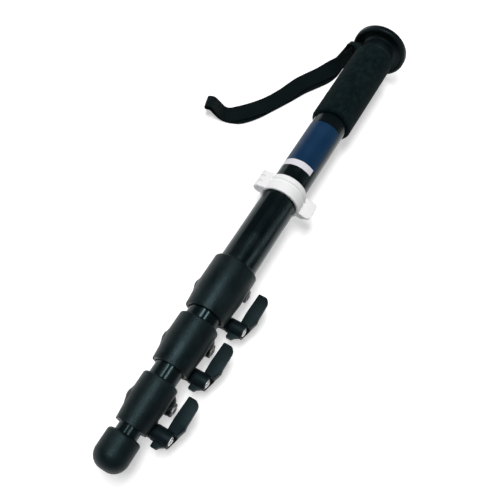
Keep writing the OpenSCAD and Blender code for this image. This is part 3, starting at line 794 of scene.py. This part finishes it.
@dataclass
class Studio:
    """The white table, the soft light above it and the camera, which stands where the photograph was taken."""

    eye: Triple = (-10.489, -526.079, 500.794)
    right: Triple = (0.82959, 0.49801, 0.25252)
    down: Triple = (0.55793, -0.75721, -0.33963)
    ahead: Triple = (0.02207, 0.42265, -0.90603)
    lens: float = 44.1
    sensor: float = 36.0
    clip: tuple[float, float] = (0.01, 20.0)
    table_z: float = -30.0
    table_side: float = 6.0
    table_tones: tuple[float, float] = (0.8, 0.82)
    table_cloud: float = 4.0
    table_glow: Map = (0.45, 1.6, 0.5, 1.0)
    table_middle: Triple = (0.0, -0.25, -0.03)
    room_glow: Map = (0.0, 0.7, 0.12, 0.04)
    room_mirrored: float = 0.15
    lamps: tuple[Softbox, ...] = (
        Softbox("overhead_box", (-0.5, -0.35, 1.7), (1.1, 0.55), 30.0),
        Softbox("side_strip", (1.13, 0.42, 0.88), (0.14, 1.2), 1.6),
    )

    def camera(self) -> None:
        """Sets up the camera."""
        data = bpy.data.cameras.new("photo_camera")
        data.lens = self.lens
        data.sensor_width = self.sensor
        data.clip_start, data.clip_end = self.clip
        camera = Bench.placed("photo_camera", data)
        columns = Matrix((self.right, [-v for v in self.down], [-v for v in self.ahead])).transposed()
        camera.matrix_world = Matrix.Translation(Vector(self.eye) * MM) @ columns.to_4x4()
        bpy.context.scene.camera = camera

    def table(self) -> None:
        """Lays the white table."""
        Bench.clear()
        bpy.ops.mesh.primitive_plane_add(size=self.table_side, location=(0, 0, self.table_z * MM))
        table = Bench.settle(bpy.context.object, "white_table")
        material, wiring, shader = new_material("white_table")
        wiring.tree.nodes.remove(shader)
        place = wiring.place()
        cloud = wiring.add("ShaderNodeTexNoise", {"Vector": place, "Scale": self.table_cloud})
        colour = wiring.mix(cloud.outputs[0], *((tone,) * 3 + OPAQUE for tone in self.table_tones))
        paper = wiring.add("ShaderNodeBsdfDiffuse", {"Color": colour})
        seen = wiring.math("MAXIMUM", *wiring.rays())
        away = wiring.add("ShaderNodeVectorMath", {0: place, 1: self.table_middle}, operation="DISTANCE").outputs[1]
        strength = wiring.math("MULTIPLY", seen, wiring.span(away, *self.table_glow))
        glow = wiring.add("ShaderNodeEmission", {"Strength": strength})
        both = wiring.add("ShaderNodeAddShader", {0: paper.outputs[0], 1: glow.outputs[0]})
        wiring.feed(wiring.tree.nodes["Material Output"], {0: both.outputs[0]})
        table.data.materials.append(material)

    def light(self) -> None:
        """Hangs the lamps and sets the room: pale at the horizon, dim overhead."""
        for lamp in self.lamps:
            lamp.hang()
        world = bpy.data.worlds.new("studio_room")
        bpy.context.scene.world = world
        world.use_nodes = True
        wiring = Wiring(world.node_tree)
        wiring.tree.nodes.clear()
        way = wiring.add("ShaderNodeSeparateXYZ", {0: wiring.add("ShaderNodeTexCoord").outputs["Generated"]})
        room = wiring.span(way.outputs[2], *self.room_glow)
        direct, mirrored = wiring.rays()
        shown = wiring.math("MAXIMUM", direct, wiring.math("MULTIPLY", mirrored, self.room_mirrored))
        strength = wiring.math("MAXIMUM", room, shown)
        ground = wiring.add("ShaderNodeBackground", {"Color": (1.0, 1.0, 1.0, 1.0), "Strength": strength})
        wiring.add("ShaderNodeOutputWorld", {0: ground.outputs[0]})

    def build(self) -> None:
        """Builds the whole studio."""
        self.camera()
        self.table()
        self.light()
        bpy.context.scene.view_settings.view_transform = "Standard"
        log.info("studio: camera, table, lamps")


@dataclass
class WristStrap(SubAssembly):
    """One band of webbing through the ring's lug, out along the table and back under itself.

    A row of the route has the place of the pair of bands, their turn in degrees, half the space between them and their
    sideways shift. A row of the selvedge has the way in from the edge and the share of half the thickness there.
    """

    width: float = 16.5
    thickness: float = 1.3
    steps: int = 18
    turn_steps: int = 10
    rib: float = 0.22
    selvedge: tuple[tuple[float, float], ...] = ((0.0, 0.0), (0.25, 0.8), (0.7, 1.0), (1.6, 0.86))
    face_shares: Triple = (-0.4, 0.0, 0.4)
    route: list[tuple[float, ...]] = field(default_factory=lambda: [
        (-26.41, -12.2, -15.25, -60, 3, 0), (-26.41, -17.5, -15.65, -60, 3, 0), (-28, -27.3, -19, -50, 2.3, 0.8),
        (-31.2, -40, -24, -27, 1.6, 1.8), (-36.3, -53.5, -26.8, -8, 1.15, 2), (-44.6, -70.7, -27.9, 0, 0.95, 2),
        (-50.3, -83.7, -28, 0, 0.95, 1.6), (-57.4, -105.5, -28, 0, 0.95, 0.6), (-65.2, -125.5, -28, 0, 0.95, 0.3),
        (-73.7, -143.3, -28, 0, 0.95, 1.2), (-83.2, -158.1, -28, 0, 0.95, 1.6), (-91, -165.4, -28, 0, 1, 0.4),
        (-97.8, -168.6, -27, 2, 1.1, 0), (-104.8, -170.6, -22.2, 6, 1.5, 0), (-110.5, -172, -18.2, 11, 1.8, 0),
        (-114.6, -173.4, -18.8, 15, 2, 0)])

    def rows(self) -> list[tuple[Vector, float, float, float]]:
        """Smooths the route.

        Returns:
            Place, turn in radians, half space and sideways shift of the pair of bands, row by row.
        """
        points = self.route
        found = []
        last = len(points) - 1
        for k in range(last):
            a, b, c, d = (points[min(last, max(0, k + n))] for n in (-1, 0, 1, 2))
            for j in range(self.steps):
                t = j / self.steps
                found.append([0.5 * (2 * q + (r - p) * t + (2 * p - 5 * q + 4 * r - s) * t * t
                                     + (3 * q - p - 3 * r + s) * t ** 3) for p, q, r, s in zip(a, b, c, d)])
        found.append(list(points[-1]))
        return [(Vector(row[:3]), math.radians(row[3]), row[4], row[5]) for row in found]

    def sections(self) -> list[tuple[Vector, Vector, Vector]]:
        """Runs the band out, round the far turn, back and round the lug's bar.

        Returns:
            Middle, face normal and width direction of each section.
        """
        rows = self.rows()
        last = len(rows) - 1
        axes = []
        for k, (_, turn, _, _) in enumerate(rows):
            run = (rows[min(last, k + 1)][0] - rows[max(0, k - 1)][0]).normalized()
            side = Vector((0, 0, 1)).cross(run).normalized()
            across = side * math.cos(turn) + run.cross(side) * math.sin(turn)
            axes.append((run, across, run.cross(across)))
        angles = [math.pi * j / self.turn_steps for j in range(self.turn_steps + 1)]
        path = [(k, 0.0, 0) for k in range(last)] + [(last, angle, 1) for angle in angles]
        path += [(k, math.pi, 0) for k in reversed(range(last))] + [(0, math.pi - angle, -1) for angle in angles[1:-1]]
        found = []
        for k, angle, way in path:
            place, _, half, shift = rows[k]
            run, across, up = axes[k]
            lean = math.cos(angle)
            normal = up * lean + run * (way * math.sin(angle))
            found.append((place + normal * half - across * (lean * shift), normal, across))
        return found

    def outline(self) -> list[tuple[float, float]]:
        """Draws the band's cross-section with its round selvedges.

        Returns:
            Points across the width and through the thickness.
        """
        half, thick = self.width / 2, self.thickness / 2
        upper = [(-half + x, thick * z) for x, z in self.selvedge]
        upper += [(half * share, thick) for share in self.face_shares]
        upper += [(half - x, thick * z) for x, z in reversed(self.selvedge)]
        return upper + [(x, -z) for x, z in reversed(upper[1:-1])]

    def band(self) -> tuple[Piece, float]:
        """Weaves the closed band with a UV map in millimetres.

        Returns:
            The band and its length in millimetres.
        """
        ring = self.outline()
        sections = self.sections()
        count, sides = len(sections), len(ring)
        points = []
        for k, (place, normal, across) in enumerate(sections):
            swell = 1 + self.rib / self.width * (1 if k % 2 else -1)
            points += [place + across * (x * swell) + normal * z for x, z in ring]
        faces = [(k * sides + c, k * sides + (c + 1) % sides, (k + 1) % count * sides + (c + 1) % sides,
                  (k + 1) % count * sides + c) for k in range(count) for c in range(sides)]
        mesh = bpy.data.meshes.new("wrist_strap_band")
        mesh.from_pydata([tuple(p * MM) for p in points], [], faces)
        lengths = [0.0]
        for k in range(count):
            lengths.append(lengths[-1] + (sections[(k + 1) % count][0] - sections[k][0]).length)
        threads = mesh.uv_layers.new(name="threads")
        for face in mesh.polygons:
            k, c = divmod(face.index, sides)
            spots = ((k, c), (k, c + 1), (k + 1, c + 1), (k + 1, c))
            for loop, (row, spot) in zip(face.loop_indices, spots):
                threads.data[loop].uv = (ring[spot % sides][0], lengths[row])
        band = Bench.placed("wrist_strap_band", mesh)
        with Bench.editing(band):
            Bench.face_out()
        return Bench.settle(band, "wrist_strap_band", Bench.SOFT_DEG), lengths[-1]

    def build(self) -> None:
        """Builds and dresses the strap."""
        band, length = self.band()
        self.wardrobe.dress(band, "webbing")
        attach(band, "mast")
        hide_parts("wrist_strap")
        log.info("wrist strap: webbing %.0f mm long", length)


@dataclass
class Head(SubAssembly):
    """Camera plate with its pad and stud, the plug's neck and the strap ring: node, finish, round edge and slot."""

    pieces: tuple[tuple[str, str, float, str], ...] = (
        ("camera_plate", "alloy", 0.3, "black_alloy"),
        ("camera_pad", "rubber", 0.35, "rubber"),
        ("camera_stud", "steel", 0.2, "steel"),
        ("strap_ring", "ring", 0.5, "black_plastic"),
        ("head_plug", "alloy", 0.3, "black_plastic"))

    def build(self) -> None:
        """Builds and dresses the head."""
        for node, finish, edge, slot in self.pieces:
            piece = Bench.softened(node, edge)
            self.wardrobe.dress(piece, finish)
        self.wardrobe.dress(frame["nodes"]["plate_screws"], "dark_steel")
        log.info("head: plate, pad, stud, ring, plug, screws")


@dataclass
class FoamGrip(SubAssembly):
    """Foam sleeve on the upper tube, with soft rolled ends."""

    top: float = -20.3
    length: float = 105.5
    outer: float = 21.3
    bore: float = 17.56
    roll: float = 2.6
    swelling: float = 0.12
    roll_steps: int = 6
    body_steps: int = 40
    sides: int = 128

    def profile(self) -> list[tuple[float, float]]:
        """Draws the sleeve's section.

        Returns:
            Stations and radii from the bore's lower edge round the outside and back.
        """
        end = self.top - self.length
        body = self.length - 2 * self.roll
        arc = [math.pi / 2 * j / self.roll_steps for j in range(self.roll_steps + 1)]
        corner = [(self.roll * (1 - math.cos(a)), self.outer - self.roll * (1 - math.sin(a))) for a in arc]
        found = [(end, self.bore)] + [(end + y, r) for y, r in corner]
        for j in range(1, self.body_steps):
            swell = self.swelling * math.sin(math.pi * j / self.body_steps)
            found.append((end + self.roll + body * j / self.body_steps, self.outer + swell - self.swelling / 2))
        found += [(self.top - y, r) for y, r in reversed(corner)]
        found.append((self.top, self.bore))
        return found

    def build(self) -> None:
        """Builds and dresses the grip."""
        sleeve = Bench.lathe("foam_sleeve", self.profile(), self.sides)
        self.wardrobe.dress(sleeve, "foam")
        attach(sleeve, "mast")
        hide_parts("grip")
        log.info("grip: foam sleeve")


@dataclass
class UpperTube(SubAssembly):
    """The upper tube with its plain navy print and the white stripe below it."""

    radius: float = 17.5
    film: float = 0.04
    film_lift: float = 0.01
    film_cuts: int = 47
    label: tuple[float, float] = (-193.2, -139.8)
    stripe: tuple[float, float] = (-200.6, -193.2)
    left_deg: float = -118.0
    label_right_deg: float = 46.0
    stripe_right_deg: float = 36.0

    def wrap(self, name: str, low: float, high: float, right_deg: float) -> Piece:
        """Wraps a thin film round a part of the tube: a plane is cut up, laid round and given its thickness.

        Args:
            name: The film's name.
            low: Its end towards the foot, along Y.
            high: Its end towards the head.
            right_deg: Its right end, in degrees from the top.

        Returns:
            The film.
        """
        Bench.clear()
        bpy.ops.mesh.primitive_plane_add(size=1.0, enter_editmode=True)
        film = bpy.context.object
        bpy.ops.mesh.subdivide(number_cuts=self.film_cuts)
        mesh = bmesh.from_edit_mesh(film.data)
        first, last = math.radians(self.left_deg), math.radians(right_deg)
        r = self.radius + self.film_lift
        for vert in mesh.verts:
            a = first + (vert.co.x + 0.5) * (last - first)
            y = low + (vert.co.y + 0.5) * (high - low)
            vert.co = Vector((r * math.sin(a), y, r * math.cos(a))) * MM
        bmesh.update_edit_mesh(film.data)
        Bench.face_out()
        bpy.ops.object.mode_set(mode="OBJECT")
        face = film.data.polygons[0]
        outward = face.normal.dot(face.center * Vector((1, 0, 1))) > 0
        Bench.modify(film, "SOLIDIFY", thickness=self.film * MM, offset=1.0 if outward else -1.0)
        return Bench.settle(film, name)

    def build(self) -> None:
        """Builds and dresses the tube."""
        tube = Bench.softened("upper_tube", 0.0)
        self.wardrobe.dress(tube, "tube")
        for name, place, right, finish in (("tube_print", self.label, self.label_right_deg, "print"),
                                           ("tube_stripe", self.stripe, self.stripe_right_deg, "stripe")):
            film = self.wrap(name, *place, right)
            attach(self.wardrobe.dress(film, finish), "mast")
        log.info("upper tube: tube, print, stripe")


@dataclass
class TubeClip(SubAssembly):
    """White snap ring on the upper tube: two halves with a bead round them, a hinge barrel and a latch tab."""

    foot_end: float = -234.8
    length: float = 19.5
    bead_at: float = -221.2
    bead_path: float = 19.9
    bead_radius: float = 1.1
    bead_steps: tuple[int, int] = (96, 16)
    parting: float = 0.15
    hinge_x: float = -23.7
    barrel: float = 5.6
    barrel_sides: int = 64
    barrel_proud: float = 0.2
    dish_rim: float = 2.0
    dish_depth: float = 0.9
    end_facing: float = 0.9
    pin_radius: float = 1.5
    room: float = 0.22
    overrun: float = 1.0
    web: Triple = (8.0, 19.2, 3.4)
    web_place: Triple = (-20.9, -225.05, 5.6)
    web_tilt: float = 24.0
    web_edge: float = 0.8
    grain: float = 0.45
    passes: int = 7

    def bead(self, upper: bool) -> Piece:
        """Turns the bead round the ring and cuts it at the parting.

        Args:
            upper: Whether the upper half stays.

        Returns:
            Half of the bead.
        """
        Bench.clear()
        around, across = self.bead_steps
        bpy.ops.mesh.primitive_torus_add(major_radius=self.bead_path * MM, minor_radius=self.bead_radius * MM,
                                         major_segments=around, minor_segments=across,
                                         location=(0, self.bead_at * MM, 0), rotation=ALONG_TUBES)
        bead = Bench.made()
        with Bench.editing(bead):
            bpy.ops.mesh.select_all(action="SELECT")
            bpy.ops.mesh.bisect(plane_co=(0, 0, (self.parting if upper else -self.parting) * MM), plane_no=(0, 0, 1),
                                use_fill=True, clear_inner=upper, clear_outer=not upper)
        return bead

    def rod(self, start: float, end: float, radius: float) -> Piece:
        """Makes a rod on the hinge's axis, from one place along the tube to another."""
        return Bench.rod(self.hinge_x, (start + end) / 2, end - start, radius, self.barrel_sides)

    def knuckle(self, third: int) -> Piece:
        """Fills out one third of the hinge barrel; the one at the foot's side has a dished end.

        Args:
            third: Which third, from 0 at the foot's side.

        Returns:
            The knuckle.
        """
        start = self.foot_end + third * self.length / 3
        low = start + (self.room if third else -self.barrel_proud)
        knuckle = self.rod(low, start + self.length / 3 - self.room, self.barrel)
        if third == 0:
            with Bench.editing(knuckle):
                Bench.pick(knuckle, Part.FACE, lambda face: face.normal.y < -self.end_facing)
                bpy.ops.mesh.inset(thickness=self.dish_rim * MM)
                bpy.ops.transform.translate(value=(0, self.dish_depth * MM, 0))
        return knuckle

    def part_hinge(self, piece: Piece, thirds: tuple[int, ...]) -> None:
        """Cuts room for the other half's knuckles and for the pin.

        Args:
            piece: One melted half.
            thirds: The thirds of the barrel that belong to the other half.
        """
        for third in thirds:
            start = self.foot_end + third * self.length / 3
            low = start - (self.room if third else self.overrun)
            high = start + self.length / 3 + (self.room if third < 2 else self.overrun)
            Bench.combine(piece, self.rod(low, high, self.barrel + self.room), Change.CUT)
        low, high = self.foot_end - self.overrun, self.foot_end + self.length + self.overrun
        Bench.combine(piece, self.rod(low, high, self.pin_radius + self.room), Change.CUT)
        Bench.settle(piece, piece.name, Bench.SOFT_DEG)

    def barrel_web(self) -> Piece:
        """Fills the crease between the barrel and the upper half of the ring.

        Returns:
            The web.
        """
        Bench.clear()
        bpy.ops.mesh.primitive_cube_add(size=1.0, location=tuple(v * MM for v in self.web_place),
                                        rotation=(0, -math.radians(self.web_tilt), 0),
                                        scale=tuple(v * MM for v in self.web))
        web = Bench.made()
        with Bench.editing(web):
            bpy.ops.mesh.select_all(action="SELECT")
            bpy.ops.mesh.bevel(offset=self.web_edge * MM, segments=2)
        return web

    def build(self) -> None:
        """Builds and dresses the clip."""
        for node, extras, rivals in (
                ("clip_upper", [self.bead(True), self.barrel_web(), self.knuckle(1)], (0, 2)),
                ("clip_lower", [self.bead(False), self.knuckle(0), self.knuckle(2)], (1,))):
            piece = Bench.melted(Bench.copied(node), extras, self.grain, self.passes)
            self.part_hinge(piece, rivals)
            self.wardrobe.dress(piece, "nylon")
        self.wardrobe.dress(frame["nodes"]["clip_pin"], "nylon")
        log.info("clip: two halves, pin")


@dataclass
class Clamp(SubAssembly):
    """One flip-lever clamp: collar, bush, two bolts with their nuts, washer and lever."""

    number: int
    tube_radius: float
    bolt_depth: float
    fixing_y: float
    roll_deg: float = 20.0
    boss_reach: float = 17.2
    shoulder_offset: Triple = (-9.2, 2.8, 2.25)
    shoulder_radii: Triple = (8.2, 8.3, 9.0)
    swell_steps: tuple[int, int] = (64, 32)
    bore_room: float = 1.0
    bore_length: float = 40.0
    bore_sides: int = 128
    knob_round: float = 1.1
    knob_steps: int = 4
    knob_depth: float = 5.2
    knob_radii: Triple = (5.0, 12.5, 9.0)
    knob_flat: float = 0.02
    collar_edge: float = 0.5
    lever_edge: float = 0.9
    lever_steps: int = 3
    metal_edge: float = 0.25

    @property
    def across(self) -> Vector:
        """The direction of the clamp's bolts."""
        roll = math.radians(self.roll_deg)
        return Vector((math.cos(roll), 0.0, math.sin(roll)))

    @property
    def boss(self) -> Vector:
        """The middle of the fixing nut's outer face."""
        roll = math.radians(self.roll_deg)
        down = Vector((math.sin(roll), 0.0, -math.cos(roll)))
        return self.across * self.boss_reach + down * self.bolt_depth + Vector((0.0, self.fixing_y, 0.0))

    def dome_knob(self, collar: Piece) -> Vector:
        """Rounds the end of the knob, which is the collar's furthest point on the left.

        Args:
            collar: The copied collar.

        Returns:
            The middle of the knob's end.
        """
        axis = self.across
        with Bench.editing(collar):
            places = [(vert.co.dot(axis), vert.co.y) for vert in bmesh.from_edit_mesh(collar.data).verts]
            end = min(reach for reach, _ in places)
            limit = end + self.knob_flat * MM
            rim = [y for reach, y in places if reach < limit]
            Bench.pick(collar, Part.EDGE, lambda edge: all(vert.co.dot(axis) < limit for vert in edge.verts))
            bpy.ops.mesh.bevel(offset=self.knob_round * MM, segments=self.knob_steps)
        return (axis * end + Vector((0.0, (min(rim) + max(rim)) / 2, 0.0))) / MM

    def swell(self, collar: Piece, middle: Vector, radii: Triple, turn_deg: float) -> None:
        """Swells the collar with part of an ellipsoid, clear of the tube inside.

        Args:
            collar: The rounded collar.
            middle: The ellipsoid's middle.
            radii: Its radii.
            turn_deg: Its turn about the tube.
        """
        Bench.clear()
        around, along = self.swell_steps
        bpy.ops.mesh.primitive_uv_sphere_add(segments=around, ring_count=along, radius=1.0, location=middle * MM,
                                             rotation=(0.0, math.radians(-turn_deg), 0.0),
                                             scale=tuple(r * MM for r in radii))
        swelling = Bench.made()
        bore = Bench.rod(0.0, middle.y, self.bore_length, self.tube_radius + self.bore_room, self.bore_sides)
        Bench.combine(swelling, bore, Change.CUT)
        Bench.combine(collar, swelling, Change.ADD)
        Bench.settle(collar, collar.name, Bench.MOULDED_DEG)

    def build(self) -> None:
        """Builds and dresses the clamp."""
        i = self.number
        collar = Bench.copied(f"collar_{i}")
        knob = self.dome_knob(collar)
        Bench.rounded(collar, self.collar_edge)
        self.swell(collar, self.boss + Vector(self.shoulder_offset), self.shoulder_radii, 0.0)
        self.swell(collar, knob + self.across * self.knob_depth, self.knob_radii, self.roll_deg)
        self.wardrobe.dress(collar, "collar")
        lever = Bench.softened(f"lever_{i}", self.lever_edge, self.lever_steps)
        self.wardrobe.dress(lever, "lever")
        for node, finish, slot in (("lever_bolt", "steel", "steel"), ("lever_nut", "steel", "steel"),
                                   ("cam_washer", "dark_steel", "dark_steel"), ("fixing_nut", "dull_steel", "steel"),
                                   ("fixing_bolt", "dark_steel", "dark_steel")):
            piece = Bench.softened(f"{node}_{i}", self.metal_edge)
            self.wardrobe.dress(piece, finish)
        self.wardrobe.dress(frame["nodes"][f"clamp_bush_{i}"], "bush")
        log.info("clamp %d: collar, lever, bolts, nuts, washer, bush", i)


@dataclass
class Legs(SubAssembly):
    """The three sliding tubes with their guide bushes."""

    tubes: tuple[str, ...] = ("second_tube", "third_tube", "fourth_tube")
    groove_edge: float = 0.25

    def build(self) -> None:
        """Builds and dresses the tubes."""
        for k, node in enumerate(self.tubes, 2):
            tube = Bench.softened(node, self.groove_edge)
            self.wardrobe.dress(tube, "tube")
            self.wardrobe.dress(frame["nodes"][f"guide_bush_{k}"], "bush")
            log.info("leg %d: tube, guide bush", k)


@dataclass
class Foot(SubAssembly):
    """Domed rubber foot with the plug inside the last tube."""

    edge: float = 0.0

    def build(self) -> None:
        """Builds and dresses the foot."""
        foot = Bench.softened("rubber_foot", self.edge)
        self.wardrobe.dress(foot, "rubber")
        self.wardrobe.dress(frame["nodes"]["foot_plug"], "collar")
        log.info("foot: rubber foot, plug")


def main() -> None:
    """Builds the studio and the monopod's sub-assemblies in order."""
    logging.basicConfig(level=logging.INFO, format="%(name)s: %(message)s")
    Studio().build()
    wardrobe = Wardrobe()
    for kind in (WristStrap, Head, FoamGrip, UpperTube, TubeClip):
        kind(wardrobe).build()
    for number, tube_radius, bolt_depth, fixing_y in CLAMPS:
        Clamp(wardrobe, number, tube_radius, bolt_depth, fixing_y).build()
    for kind in (Legs, Foot):
        kind(wardrobe).build()
    Bench.clear()


if __name__ == "__main__":
    main()
